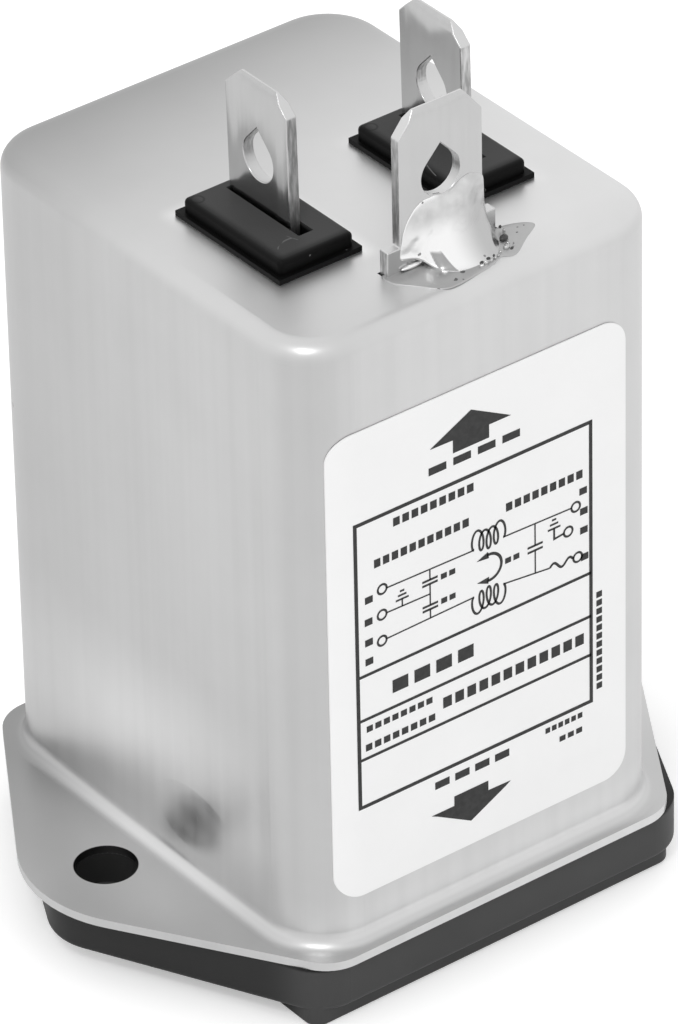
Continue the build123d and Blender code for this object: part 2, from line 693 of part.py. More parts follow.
# --- Rating label: film stuck on the can, turned round one corner -------------
with BuildPart() as rating_label:
    with BuildSketch(Plane.XY.offset(z_seat)):
        RectangleRounded(can_x + 2 * (label_gap + label_t), can_y + 2 * (label_gap + label_t),
                         can_corner_r + label_gap + label_t)
        RectangleRounded(can_x + 2 * label_gap, can_y + 2 * label_gap,
                         can_corner_r + label_gap, mode=Mode.SUBTRACT)
    extrude(amount=can_drawn)
    with BuildSketch(Plane.XZ):
        with Locations((label_x0, z_seat + label_z0)):
            RectangleRounded(label_x, label_z, label_corner_r)
    extrude(amount=can_y, mode=Mode.INTERSECT)
save(rating_label, "rating_label")
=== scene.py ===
import math
import bmesh
import bpy
import numpy as np
from mathutils import Matrix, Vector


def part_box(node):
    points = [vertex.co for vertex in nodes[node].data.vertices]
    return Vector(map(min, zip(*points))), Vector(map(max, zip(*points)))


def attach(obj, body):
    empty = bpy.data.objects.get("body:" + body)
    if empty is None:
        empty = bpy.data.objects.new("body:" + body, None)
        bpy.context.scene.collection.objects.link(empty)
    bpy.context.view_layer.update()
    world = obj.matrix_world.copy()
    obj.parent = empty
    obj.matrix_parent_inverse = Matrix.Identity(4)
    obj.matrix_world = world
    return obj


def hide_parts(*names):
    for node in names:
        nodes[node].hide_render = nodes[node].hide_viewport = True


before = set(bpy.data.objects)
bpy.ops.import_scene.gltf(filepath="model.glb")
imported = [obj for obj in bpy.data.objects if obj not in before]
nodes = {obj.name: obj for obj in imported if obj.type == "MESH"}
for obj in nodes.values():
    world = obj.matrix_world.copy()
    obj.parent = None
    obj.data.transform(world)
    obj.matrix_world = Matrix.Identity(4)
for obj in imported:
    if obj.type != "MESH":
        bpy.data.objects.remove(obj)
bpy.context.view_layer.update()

scene = bpy.context.scene
scene.view_settings.view_transform = "Standard"

# --- Bench, camera and light -------------------------------------------------
# The filter stands on its inlet face on a plain white table in a pale, evenly lit
# room, with one small soft panel high in front on the left.
camera_spot = (-0.27153, -0.36056, 0.32492)
heading, look_down, roll = -37.081, 33.689, -1.258    # degrees
camera_data = bpy.data.cameras.new("camera")
camera_data.sensor_fit = "VERTICAL"
camera_data.sensor_height = 36.0
camera_data.lens = 304.25
camera_data.clip_start = 0.01
camera_data.clip_end = 10.0
camera = bpy.data.objects.new("camera", camera_data)
camera.matrix_world = (Matrix.Translation(camera_spot)
                       @ Matrix.Rotation(math.radians(heading), 4, "Z")
                       @ Matrix.Rotation(math.radians(90.0 - look_down), 4, "X")
                       @ Matrix.Rotation(math.radians(roll), 4, "Z"))
scene.collection.objects.link(camera)
scene.camera = camera


def place(tree, kind, settings=None, **sockets):
    """A shader node with its settings made, and each named socket set or linked."""
    node = tree.nodes.new(kind)
    for name, value in (settings or {}).items():
        setattr(node, name, value)
    for name, value in sockets.items():
        socket = node.inputs[int(name[1:])] if name[0] == "_" else node.inputs[name.replace("_", " ")]
        if isinstance(value, bpy.types.NodeSocket):
            tree.links.new(value, socket)
        else:
            socket.default_value = value
    return node


def maths(tree, operation, *terms):
    """The result of one step of arithmetic on values."""
    sockets = {f"_{number}": term for number, term in enumerate(terms)}
    return place(tree, "ShaderNodeMath", {"operation": operation}, **sockets).outputs[0]


def surface(name, vertices, faces, smooth=True):
    """A mesh object at the origin from arrays of corners and of faces, in metres."""
    mesh = bpy.data.meshes.new(name)
    mesh.from_pydata(np.asarray(vertices, float).tolist(), [], [list(map(int, face)) for face in faces])
    mesh.update()
    mesh.polygons.foreach_set("use_smooth", [smooth] * len(mesh.polygons))
    piece = bpy.data.objects.new(name, mesh)
    scene.collection.objects.link(piece)
    return piece


white_table = bpy.data.materials.new("white_table")
white_table.use_nodes = True
tree = white_table.node_tree
tree.nodes.clear()
path = place(tree, "ShaderNodeLightPath").outputs
seen = maths(tree, "MAXIMUM", path["Is Camera Ray"], path["Is Glossy Ray"])
seen = maths(tree, "MAXIMUM", seen, path["Is Transmission Ray"])
glow = maths(tree, "MULTIPLY", seen, 0.05)
glow = maths(tree, "MULTIPLY_ADD", path["Is Camera Ray"], 0.3, glow)
paint = place(tree, "ShaderNodeBsdfDiffuse", Color=(0.86, 0.86, 0.86, 1))
lift = place(tree, "ShaderNodeEmission", Color=(1, 1, 1, 1), Strength=glow)
both = place(tree, "ShaderNodeAddShader", _0=paint.outputs[0], _1=lift.outputs[0])
place(tree, "ShaderNodeOutputMaterial", Surface=both.outputs[0])

half_table = 3.0
table = surface("table", [(-half_table, -half_table, 0), (half_table, -half_table, 0),
                          (half_table, half_table, 0), (-half_table, half_table, 0)],
                [(0, 1, 2, 3)], False)
table.data.materials.append(white_table)

room = bpy.data.worlds.new("pale_room")
room.use_nodes = True
scene.world = room
tree = room.node_tree
tree.nodes.clear()
path = place(tree, "ShaderNodeLightPath").outputs
plain = place(tree, "ShaderNodeBackground", Color=(1, 1, 1, 1), Strength=0.95)
clear = place(tree, "ShaderNodeBackground", Color=(1, 1, 1, 1), Strength=1.0)
pick = place(tree, "ShaderNodeMixShader", _0=path["Is Camera Ray"], _1=plain.outputs[0],
             _2=clear.outputs[0])
place(tree, "ShaderNodeOutputWorld", Surface=pick.outputs[0])


def panel(name, spot, middle, side, watts):
    """A square soft light panel at a spot that faces the filter's middle."""
    data = bpy.data.lights.new(name, "AREA")
    data.shape = "RECTANGLE"
    data.size = side
    data.size_y = side
    data.energy = watts
    light = bpy.data.objects.new(name, data)
    aim = np.subtract(spot, middle)
    aim /= np.linalg.norm(aim)
    across = np.cross((0, 0, 1), aim)
    across /= np.linalg.norm(across)
    up = np.cross(aim, across)
    light.matrix_world = Matrix([[*row, at] for row, at in zip(np.stack([across, up, aim], 1), spot)]
                                + [[0, 0, 0, 1]])
    scene.collection.objects.link(light)


panel("panel_high", (-0.30, -0.22, 0.55), (0, 0, 0.03), 0.12, 0.5)


# --- Moulded inlet -----------------------------------------------------------
# The inlet, its fuse drawer and the two tab bushes are black moulded nylon with
# a fine satin skin. Handling leaves dust and hair-fine scratches on it.
def effect(name, **values):
    """An empty shader node group that takes a place and named values, and gives one mask."""
    group = bpy.data.node_groups.new(name, "ShaderNodeTree")
    group.interface.new_socket("Vector", in_out="INPUT", socket_type="NodeSocketVector")
    for label, value in values.items():
        socket = group.interface.new_socket(label.replace("_", " "), in_out="INPUT",
                                            socket_type="NodeSocketFloat")
        socket.default_value = value
    group.interface.new_socket("Mask", in_out="OUTPUT", socket_type="NodeSocketFloat")
    return group, group.nodes.new("NodeGroupInput").outputs, group.nodes.new("NodeGroupOutput")


def noise(tree, where, scale, detail, roughness=0.5):
    """Soft clouds from 0 to 1."""
    return place(tree, "ShaderNodeTexNoise", Vector=where, Scale=scale, Detail=detail,
                 Roughness=roughness).outputs["Fac"]


# Dust: one small dot in a share of the cells of a random net. A dot's size is a part of its cell.
dust, enter, leave = effect("dust", Cells_per_metre=900.0, Share=0.1, Dot_size=0.1)
cells = place(dust, "ShaderNodeTexVoronoi", {"feature": "F1"}, Vector=enter["Vector"],
              Scale=enter["Cells per metre"])
lot = place(dust, "ShaderNodeSeparateColor", Color=cells.outputs["Color"]).outputs
kept = maths(dust, "LESS_THAN", lot["Red"], enter["Share"])
size = maths(dust, "MULTIPLY", lot["Green"], enter["Dot size"])
dot = maths(dust, "LESS_THAN", cells.outputs["Distance"], size)
dust.links.new(maths(dust, "MULTIPLY", kept, dot), leave.inputs["Mask"])

# Scratches: the borders of long bent cells, broken up by a coarse noise.
scratches, enter, leave = effect("scratches", Cells_per_metre=120.0, Width=0.006, Share=0.3)
bend = place(scratches, "ShaderNodeTexNoise", Vector=enter["Vector"], Scale=150.0, Detail=1.0)
warp = place(scratches, "ShaderNodeVectorMath", {"operation": "SCALE"}, _0=bend.outputs["Color"],
             Scale=0.006)
along = place(scratches, "ShaderNodeVectorMath", {"operation": "ADD"}, _0=enter["Vector"],
              _1=warp.outputs[0])
net = place(scratches, "ShaderNodeTexVoronoi", {"feature": "DISTANCE_TO_EDGE"}, Vector=along.outputs[0],
            Scale=enter["Cells per metre"])
line = maths(scratches, "LESS_THAN", net.outputs["Distance"], enter["Width"])
here = maths(scratches, "LESS_THAN", noise(scratches, enter["Vector"], 260.0, 2.0), enter["Share"])
scratches.links.new(maths(scratches, "MULTIPLY", line, here), leave.inputs["Mask"])


def specks_on(tree, where, cells, share, dot_size):
    """Where dust lies: 1 on a dot and 0 beside it."""
    return place(tree, "ShaderNodeGroup", {"node_tree": dust}, Vector=where, Cells_per_metre=cells,
                 Share=share, Dot_size=dot_size).outputs[0]


def start_material(name):
    """A new material with object coordinates, a Principled BSDF and an output."""
    material = bpy.data.materials.new(name)
    material.use_nodes = True
    tree = material.node_tree
    tree.nodes.clear()
    spot = place(tree, "ShaderNodeTexCoord").outputs["Object"]
    skin = place(tree, "ShaderNodeBsdfPrincipled")
    place(tree, "ShaderNodeOutputMaterial", Surface=skin.outputs[0])
    return material, tree, spot, skin


def ramp(tree, value, start, end, low=0.0, high=1.0, smooth=True):
    """A value that runs from low to high while another goes from start to end."""
    kind = "SMOOTHSTEP" if smooth else "LINEAR"
    return place(tree, "ShaderNodeMapRange", {"interpolation_type": kind}, Value=value, From_Min=start,
                 From_Max=end, To_Min=low, To_Max=high).outputs[0]


def grey(tree, value, low, high):
    """A grey that runs from low to high with a value from 0 to 1."""
    return ramp(tree, value, 0.0, 1.0, low, high, smooth=False)


def mixed(tree, share, first, second):
    """A value that goes from the first to the second with a share from 0 to 1."""
    return place(tree, "ShaderNodeMix", {"data_type": "FLOAT"}, _0=share, _2=first, _3=second).outputs[0]


def tinted(tree, share, first, second):
    """A colour that goes from the first to the second with a share from 0 to 1."""
    return place(tree, "ShaderNodeMix", {"data_type": "RGBA"}, _0=share, _6=first, _7=second).outputs[2]


def cover(tree, skin, colour, rough, height, strength, depth):
    """Links a colour and a roughness, and makes a bump of a height from 0 to 1 and a depth in metres."""
    relief = place(tree, "ShaderNodeBump", Strength=strength, Distance=depth, Height=height)
    tree.links.new(colour, skin.inputs["Base Color"])
    tree.links.new(rough, skin.inputs["Roughness"])
    tree.links.new(relief.outputs[0], skin.inputs["Normal"])


def moulding(name, shade, dusty, scratched, texture):
    """Black nylon: a fine eroded skin, a slow change of gloss, dust and scratches."""
    material, tree, spot, skin = start_material(name)
    slow = noise(tree, spot, 140.0, 3.0)
    lines = place(tree, "ShaderNodeGroup", {"node_tree": scratches}, Vector=spot,
                  Cells_per_metre=300.0, Width=0.008, Share=scratched)
    marks = maths(tree, "MAXIMUM", specks_on(tree, spot, 1100.0, dusty, 0.11), lines.outputs[0])
    colour = tinted(tree, marks, grey(tree, slow, shade * 0.8, shade * 1.25), (0.12, 0.12, 0.12, 1))
    cover(tree, skin, colour, grey(tree, slow, 0.36, 0.52), noise(tree, spot, 9000.0, 2.0), texture,
          0.00002)
    skin.inputs["Specular IOR Level"].default_value = 0.25
    return material


def dress(material, *names):
    """Gives CAD pieces their material."""
    for name in names:
        nodes[name].data.materials.clear()
        nodes[name].data.materials.append(material)


def lighten(material, gain):
    """Multiplies the plain tone of a moulding by a value, and leaves its dust and scratches."""
    tree = material.node_tree
    tone = tree.nodes["Mix"].inputs[6]
    tree.links.new(maths(tree, "MULTIPLY", tone.links[0].from_socket, gain), tone)


# painted light and shade: the earth side is painted paler, as if lit from the front, and a painted shadow
# darkens the gap under the can's flange
inlet = moulding("inlet_nylon", 0.021, 0.02, 0.2, 0.25)
tree = inlet.node_tree
earth_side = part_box("inlet_housing")[0][1]
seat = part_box("can")[0][2]
off = place(tree, "ShaderNodeSeparateXYZ", Vector=tree.nodes["Texture Coordinate"].outputs["Object"])
painted_front_light = ramp(tree, off.outputs["Y"], earth_side + 0.004, earth_side + 0.0005, 0.0, 1.6)
painted_gap_shadow = ramp(tree, off.outputs["Z"], seat - 0.0003, seat - 0.0001, 1.0, -0.55)
lighten(inlet, maths(tree, "MULTIPLY_ADD", painted_front_light, painted_gap_shadow, 1.0))
dress(inlet, "inlet_housing")


# --- Inlet pins and fuse contacts --------------------------------------------
# Pins, fuse contacts and blade tabs are stamped from brass strip and tin plated.
# The flat faces keep a soft rolled grain; the cut edges show upright shear lines.
def tin_plate(name, shade, gloss, cut_axis=None):
    """Bright tin on brass: fine upright grain and clouds. Faces that look less than half along the
    cut axis are cut edges, with dark shear lines where they stand; where they face up they are smooth and
    painted brighter, a painted highlight."""
    material, tree, spot, skin = start_material(name)
    stretched = place(tree, "ShaderNodeMapping", Vector=spot, Scale=(2600.0, 2600.0, 120.0))
    grain = noise(tree, stretched.outputs[0], 1.0, 2.0)
    cloud = noise(tree, spot, 420.0, 3.0)
    tone = grey(tree, maths(tree, "MULTIPLY", grain, cloud), shade * 0.93, shade * 1.1)
    rough = grey(tree, cloud, gloss * 0.8, gloss * 1.25)
    height, strength = grain, 0.02
    if cut_axis is not None:
        facing = place(tree, "ShaderNodeNewGeometry").outputs["True Normal"]
        normal = place(tree, "ShaderNodeSeparateXYZ", Vector=facing).outputs
        cut = maths(tree, "LESS_THAN", maths(tree, "ABSOLUTE", normal[cut_axis]), 0.5)
        # painted highlight: cut faces that face up get a flat tone brighter than the shade
        standing = ramp(tree, normal["Z"], 0.1, 0.4, 1.0, 0.0, smooth=False)
        torn = place(tree, "ShaderNodeMapping", Vector=spot, Scale=(5200.0, 5200.0, 900.0))
        tear = noise(tree, torn.outputs[0], 1.0, 4.0)
        lines = ramp(tree, tear, 0.34, 0.66, shade * 0.66, shade * 1.22, smooth=False)
        tone = tinted(tree, cut, tone, mixed(tree, standing, shade * 1.15, lines))
        height, strength = mixed(tree, cut, grain, maths(tree, "MULTIPLY", tear, standing)), 0.12
        rough = mixed(tree, cut, rough, 0.42)
    cover(tree, skin, tone, rough, height, strength, 0.00006)
    skin.inputs["Metallic"].default_value = 1.0
    return material


dress(tin_plate("plated_pin", 0.78, 0.24), "line_pin", "neutral_pin", "earth_pin")
dress(tin_plate("plated_contact", 0.74, 0.3), "fuse_contact_left", "fuse_contact_right",
      "fuse_cap_left", "fuse_cap_right", "fuse_element")

# --- Fuse drawer and fuse ----------------------------------------------------
# The drawer slides in from the inlet face with one 5 x 20 mm glass fuse in its
# cradle. It is moulded in the same black nylon; the fuse is glass in plated caps.
dress(moulding("drawer_nylon", 0.026, 0.02, 0.2, 0.35), "fuse_drawer")

tube, tree, spot, skin = start_material("fuse_glass")
haze = noise(tree, spot, 700.0, 2.0)
tree.links.new(grey(tree, haze, 0.01, 0.06), skin.inputs["Roughness"])
skin.inputs["Base Color"].default_value = (0.95, 0.97, 0.97, 1)
skin.inputs["Transmission Weight"].default_value = 1.0
skin.inputs["IOR"].default_value = 1.5
dress(tube, "fuse_glass")


# --- Filter parts ------------------------------------------------------------
# Across the line stands a boxed film capacitor; two dipped ceramic capacitors go
# to earth; the choke is a coated ferrite ring with two enamelled copper windings.
def coated(name, colour, gloss, scale, texture):
    """Painted, dipped or lacquered skin: one colour with slow clouds and light orange peel."""
    material, tree, spot, skin = start_material(name)
    cloud = noise(tree, spot, scale, 3.0)
    dark = [part * 0.8 for part in colour] + [1]
    light = [min(1.0, part * 1.15) for part in colour] + [1]
    cover(tree, skin, tinted(tree, cloud, dark, light), grey(tree, cloud, gloss * 0.8, gloss * 1.2),
          noise(tree, spot, scale * 6, 2.0), texture, 0.00005)
    return material


dress(coated("capacitor_box", (0.72, 0.5, 0.08), 0.32, 260.0, 0.1), "x_capacitor")
dress(coated("capacitor_dip", (0.08, 0.25, 0.5), 0.28, 420.0, 0.3), "y_capacitor_line",
      "y_capacitor_neutral")
dress(coated("ring_coating", (0.08, 0.2, 0.12), 0.4, 300.0, 0.3), "choke_core")
dress(coated("divider_nylon", (0.8, 0.8, 0.77), 0.5, 300.0, 0.2), "choke_divider")
dress(coated("brown_sleeve", (0.16, 0.08, 0.04), 0.4, 500.0, 0.15), "line_link_wire")
dress(coated("green_sleeve", (0.15, 0.42, 0.08), 0.4, 500.0, 0.15), "earth_wire")
dress(coated("pressboard", (0.5, 0.42, 0.3), 0.75, 900.0, 0.5), "liner")

copper = coated("enamelled_copper", (0.66, 0.27, 0.1), 0.25, 600.0, 0.1)
copper.node_tree.nodes["Principled BSDF"].inputs["Metallic"].default_value = 1.0
dress(copper, "line_winding", "neutral_winding")

dress(tin_plate("tinned_wire", 0.76, 0.3), "x_lead_line", "x_lead_neutral", "y_lead_line_earth",
      "y_lead_line_tab", "y_lead_neutral_earth", "y_lead_neutral_tab")

# --- Steel can ---------------------------------------------------------------
# The can and its eared flange are drawn from one 0.6 mm tin-plated steel sheet.
# Drawing leaves faint upright streaks on the walls, and the tin has soft clouds.
steel, tree, spot, skin = start_material("drawn_tinplate")
upright = place(tree, "ShaderNodeMapping", Vector=spot, Scale=(900.0, 900.0, 16.0))
streak = noise(tree, upright.outputs[0], 1.0, 3.0)
cloud = noise(tree, spot, 90.0, 4.0, 0.6)
facing = place(tree, "ShaderNodeNewGeometry").outputs["Normal"]
normal = place(tree, "ShaderNodeSeparateXYZ", Vector=facing).outputs
level = maths(tree, "ABSOLUTE", normal["Z"])
wall = ramp(tree, level, 0.15, 0.7, 1.0, 0.0, smooth=False)
veil = maths(tree, "MULTIPLY", maths(tree, "SUBTRACT", streak, 0.5), wall)
tone = maths(tree, "MULTIPLY_ADD", veil, 0.09, grey(tree, cloud, 0.60, 0.70))
off = place(tree, "ShaderNodeSeparateXYZ", Vector=spot).outputs


def slope(axis, start, end, low, high, smooth=True):
    """A gain that runs from low to high between two places along an axis of the can, in metres."""
    return ramp(tree, off[axis], start, end, low, high, smooth)


def times(first, *others):
    """The product of values on the can."""
    for other in others:
        first = maths(tree, "MULTIPLY", first, other)
    return first


def arrow(operation, *terms):
    """The result of one step of arithmetic on places on the can: a value or a place."""
    sockets = {f"_{number}": term for number, term in enumerate(terms)}
    step = place(tree, "ShaderNodeVectorMath", {"operation": operation}, **sockets)
    return step.outputs["Value" if operation in ("LENGTH", "DISTANCE", "DOT_PRODUCT") else "Vector"]


# painted shade and light: the top, the flange and the walls are painted darker towards the back and the
# left, and lighter towards the front and the right
behind = maths(tree, "POWER", slope("Y", -0.006, 0.015, 0.0, 1.0, False), 1.8)
painted_top_light = times(maths(tree, "MULTIPLY_ADD", behind, -0.52, 1.16), slope("X", -0.013, 0.01, 0.93, 1.03),
               slope("Y", -0.018, -0.012, 0.95, 1.0))
# painted light: the top is painted lighter close round the bushes, where their shade falls; past is the
# way from a bush's box
for name, painted_light_gain in (("line_insulator", 1.22), ("neutral_insulator", 1.06)):
    low, high = (np.array(end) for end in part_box(name))
    off_middle = arrow("ABSOLUTE", arrow("SUBTRACT", spot, (low + high) / 2))
    past = arrow("LENGTH", arrow("MAXIMUM", arrow("SUBTRACT", off_middle, (high - low) / 2), (0, 0, 0)))
    painted_top_light = times(painted_top_light, ramp(tree, past, -0.0002, 0.0013, painted_light_gain, 1.0))
painted_flange_light = times(slope("Y", 0.0, 0.015, 1.0, 0.5), slope("Y", -0.013, -0.004, 0.87, 1.02),
                  slope("X", -0.0215, -0.016, 0.8, 1.0))
flat = mixed(tree, slope("Z", 0.02, 0.03, 0.0, 1.0), painted_flange_light, painted_top_light)

# painted light: the left wall is painted brighter low down, and the front wall at its very foot
painted_low_light = times(times(slope("Z", 0.012, 0.021, 0.33, 0.0), slope("Z", 0.007, 0.0115, 0.25, 1.0)),
                  times(slope("Y", 0.0, 0.012, 1.0, 0.35), slope("Y", -0.0135, -0.01, 0.0, 1.0)),
                  slope("X", -0.0125, -0.008, 1.0, 0.0))
painted_foot_light = times(slope("Z", 0.006, 0.009, 0.14, 0.0), slope("Y", -0.0135, -0.01, 1.0, 0.0))
painted_low_light = maths(tree, "ADD", maths(tree, "ADD", painted_low_light, painted_foot_light), 1.0)
# painted shade: the walls are painted darker on their rounded upright corners
corner = ramp(tree, times(normal["X"], normal["Y"]), 0.15, 0.5, 1.0, 0.92)
# the walls' painted light: darker towards the back, lighter towards the right
painted_wall_light = times(slope("Y", -0.008, 0.013, 1.0, 0.9, False), slope("X", -0.0145, -0.006, 0.97, 1.08))
painted_wall_light = times(painted_wall_light, painted_low_light, corner)

# painted highlight: the tight bend from wall to flange is painted brighter
bent = times(ramp(tree, level, 0.3, 0.6, 0.0, 0.12), ramp(tree, level, 0.8, 0.97, 1.0, 0.0),
             slope("Z", 0.009, 0.012, 1.0, 0.0))
slow = times(mixed(tree, wall, flat, painted_wall_light), maths(tree, "ADD", bent, 1.0))

# painted shade: the ears' punched holes are painted dark inside
ear_hole, ear_hole_r = (0.018, 0.0, 0.0047), 0.00206
painted_hole_shade = ramp(tree, arrow("DISTANCE", arrow("ABSOLUTE", spot), ear_hole), ear_hole_r,
               ear_hole_r + 0.00005, 0.12, 1.0, smooth=False)

# painted shade: the dent at the left wall's foot is painted darker, in a slanting oval whose half axes
# measure 1
dent_middle, dent_long, dent_short = (0.0, -0.0043, 0.0091), (0.0, -300.0, 0.0), (0.0, -328.0, -739.0)
from_dent = arrow("SUBTRACT", spot, dent_middle)
oval = place(tree, "ShaderNodeCombineXYZ", X=arrow("DOT_PRODUCT", from_dent, dent_long),
             Y=arrow("DOT_PRODUCT", from_dent, dent_short))
dim = ramp(tree, arrow("LENGTH", oval.outputs[0]), 0.0, 1.1, 0.76, 1.0)
dim = mixed(tree, maths(tree, "GREATER_THAN", level, 0.6), dim, 1.0)
dim = mixed(tree, slope("X", -0.0125, -0.008, 0.0, 1.0), dim, 1.0)

specks = grey(tree, specks_on(tree, spot, 500.0, 0.12, 0.1), 1.0, 0.72)
shine = maths(tree, "MULTIPLY_ADD", veil, 0.16, grey(tree, cloud, 0.30, 0.42))
cover(tree, skin, times(tone, slow, times(dim, painted_hole_shade), specks), shine,
      noise(tree, spot, 5200.0, 2.0), 0.06, 0.00003)
skin.inputs["Metallic"].default_value = 1.0
dress(steel, "can")

# --- Tab bushes --------------------------------------------------------------
# Each load tab stands loose in a bush of black nylon with a thin sharp brim, which lies on the can top.
# Its flat top is painted lighter, as if lit from above, and painted darker towards its left and front
# edges, a painted shade of their rounding.
brim, painted_edge_fade, painted_light_depth = 0.0003, 0.0009, 0.0004
pin_mark_r, pin_mark_w = 0.0004, 0.00012
for name in ("line_insulator", "neutral_insulator"):
    low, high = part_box(name)
    bush = moulding(name + "_nylon", 0.0026, 0.12, 0.385, 0.3)
    tree = bush.node_tree
    tree.nodes["Principled BSDF"].inputs["Specular IOR Level"].default_value = 0.1
    spot = tree.nodes["Texture Coordinate"].outputs["Object"]
    off = place(tree, "ShaderNodeSeparateXYZ", Vector=spot).outputs
    # painted light: the bush's flat top is painted up to twenty times lighter than its sides, fading
    # towards its left and front edges
    painted_bush_light = ramp(tree, off["Z"], high[2] - painted_light_depth, high[2])
    for side, edge in (("X", low[0] + brim), ("Y", low[1] + brim)):
        painted_bush_light = maths(tree, "MULTIPLY", painted_bush_light, ramp(tree, off[side], edge, edge + painted_edge_fade))
    # the mould's ejector pin leaves a faint ring in the back left corner
    pin_mark = place(tree, "ShaderNodeVectorMath", {"operation": "DISTANCE"}, _0=spot,
                     _1=(low[0] + 0.0009, high[1] - 0.0011, high[2])).outputs["Value"]
    off_ring = maths(tree, "ABSOLUTE", maths(tree, "SUBTRACT", pin_mark, pin_mark_r))
    painted_bush_light = maths(tree, "MULTIPLY", painted_bush_light, ramp(tree, off_ring, 0.0, pin_mark_w, 0.45, 1.0, False))
    lighten(bush, grey(tree, painted_bush_light, 1.0, 20.0))
    dress(bush, name)


# --- Blade tabs --------------------------------------------------------------
# Three stamped 0.8 mm blades with cut corners, a bevelled crown and a drop-shaped
# hole. The two load tabs hold under their bushes by their shoulders, and lean a little.
def blade(origin, across, width, shoulder, tail, rise, hole, lean, cut_z=1.25):
    """A closed half outline, from the tail's end up the right side to the crown and down round
    the hole, gives the front, the back and every edge; the other half is its mirror.
    Millimetres: x across, z above the can top, y out of the face. The shoulder has a half width,
    a foot and a head; the tail a half width and a depth; the hole a middle, a radius and the reach
    of its point."""
    thick, bevel_y, bevel_z, cut_x, lean_from = 0.8, 0.3, 0.6, 1.3, 0.3
    side, crown = width / 2, rise - bevel_z
    low = [(tail[0], -tail[1]), (tail[0], shoulder[1]), (shoulder[0], shoulder[1]),
           (shoulder[0], shoulder[2]), (side, shoulder[2]), (side, rise - cut_z)]
    low = [(0.0, -tail[1])] + low + [(side - cut_x * (cut_z - bevel_z) / cut_z, crown)]
    turn = np.linspace(math.acos(hole[1] / hole[2]), np.pi, 17)
    drop = [(0.0, hole[0] + hole[2])]
    drop += list(zip(hole[1] * np.sin(turn[:-1]), hole[0] + hole[1] * np.cos(turn[:-1])))
    drop += [(0.0, hole[0] - hole[1])]
    loop = np.array(low + [(0.0, crown)] + drop)
    count, last = len(loop), len(low)
    tips = np.array([(side - cut_x, rise, thick / 2 - bevel_y), (0.0, rise, thick / 2 - bevel_y)])
    front = np.column_stack([loop, np.full(count, thick / 2)])
    points = np.concatenate([front, tips, front * (1, 1, -1), tips * (1, 1, -1)])
    back = count + 2
    edges = [k for k in range(count - 1) if k not in (last - 2, last - 1, last)]
    faces = [list(range(count)), [back + k for k in range(count - 1, -1, -1)]]
    faces += [[k, back + k, back + k + 1, k + 1] for k in edges]
    faces += [[last - 2, back + last - 2, back + last - 1, back + count, count, last - 1],
              [last, last - 1, count, count + 1],
              [back + last - 1, back + last, back + count + 1, back + count],
              [count + 1, count, back + count, back + count + 1]]
    faces += [[len(points) + k for k in face[::-1]] for face in faces]
    points = np.concatenate([points, points * (-1, 1, 1)])
    x = points[:, 0] - lean * np.maximum(points[:, 1] - lean_from, 0)
    across, up = np.array(across, float), np.array((0.0, 0.0, 1.0))
    out = np.cross(across, up)
    where = x[:, None] * across + points[:, 1:2] * up + points[:, 2:] * out
    return np.asarray(origin) + where * 0.001, faces


def finish_blade(piece):
    """Joins the two halves and eases the sheared edges."""
    mesh = bmesh.new()
    mesh.from_mesh(piece.data)
    bmesh.ops.remove_doubles(mesh, verts=mesh.verts, dist=1e-6)
    mesh.to_mesh(piece.data)
    mesh.free()
    eased = piece.modifiers.new("eased_edges", "BEVEL")
    eased.width = 0.00009
    eased.segments = 3
    eased.limit_method = "ANGLE"
    eased.angle_limit = math.radians(30)
    eased.harden_normals = True


can_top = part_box("can")[1][2]
for name, shade in (("line_tab", 0.58), ("neutral_tab", 0.6)):
    tab_low, tab_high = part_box(name)
    foot = ((tab_low[0] + tab_high[0]) / 2, (tab_low[1] + tab_high[1]) / 2, can_top)
    points, faces = blade(foot, (0, -1, 0), width=6.08, shoulder=(4.0, -4.4, -3.4), tail=(2.0, 6.4),
                          rise=(tab_high[2] - can_top) * 1000, hole=(4.6, 1.47, 2.15), lean=0.03)
    load_tab = surface(name + "_blade", points, faces)
    finish_blade(load_tab)
    load_tab.data.materials.append(tin_plate("plated_" + name, shade, 0.2, "X"))
    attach(load_tab, "filter")
    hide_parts(name)

# --- Earth tab and its solder ------------------------------------------------
# The earth tab stands in a slot of the can top. Solder wetted its whole right side,
# ran down in a hollow fillet to a broad foot, and left a thin puddle of flux.
tab_low, tab_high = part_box("earth_tab")
foot = np.array(((tab_low[0] + tab_high[0]) / 2, (tab_low[1] + tab_high[1]) / 2, can_top))
face = foot - (0, 0.0004, 0)
points, faces = blade(foot - (0.0001, 0, 0), (1, 0, 0), width=6.35, shoulder=(4.15, -1.7, 1.7),
                      tail=(2.5, 5.4), rise=(tab_high[2] - can_top) * 1000, hole=(5.75, 1.47, 2.15),
                      lean=0.0, cut_z=1.6)
earth_blade = surface("earth_tab_blade", points, faces)
finish_blade(earth_blade)
earth_blade.data.materials.append(tin_plate("plated_earth_tab", 0.64, 0.24, "Y"))
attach(earth_blade, "filter")
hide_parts("earth_tab")


def swept(control, steps):
    """Points at even steps along a control polyline, with its corners eased by repeated averaging."""
    control = np.asarray(control, float)
    at = np.linspace(0, 1, steps)
    line = np.stack([np.interp(at, control[:, 0], column) for column in control[:, 1:].T], 1)
    for _ in range(steps // 16):
        line[1:-1] = (line[:-2] + 2 * line[1:-1] + line[2:]) / 4
    return line


def ripple(x, z, size, seed):
    """A smooth uneven field, mostly from -1 to 1: twelve plane waves near one wavelength, added and
    divided by the root of twelve."""
    lot = np.random.default_rng(seed)
    angle, phase, stretch = lot.uniform(0, 2 * np.pi, (2, 12)).tolist() + [lot.uniform(0.6, 1.6, 12)]
    wave = 2 * np.pi / (size * np.asarray(stretch))
    total = [np.sin(w * (x * np.cos(a) + z * np.sin(a)) + p) for w, a, p in zip(wave, angle, phase)]
    return np.sum(total, 0) / 12 ** 0.5


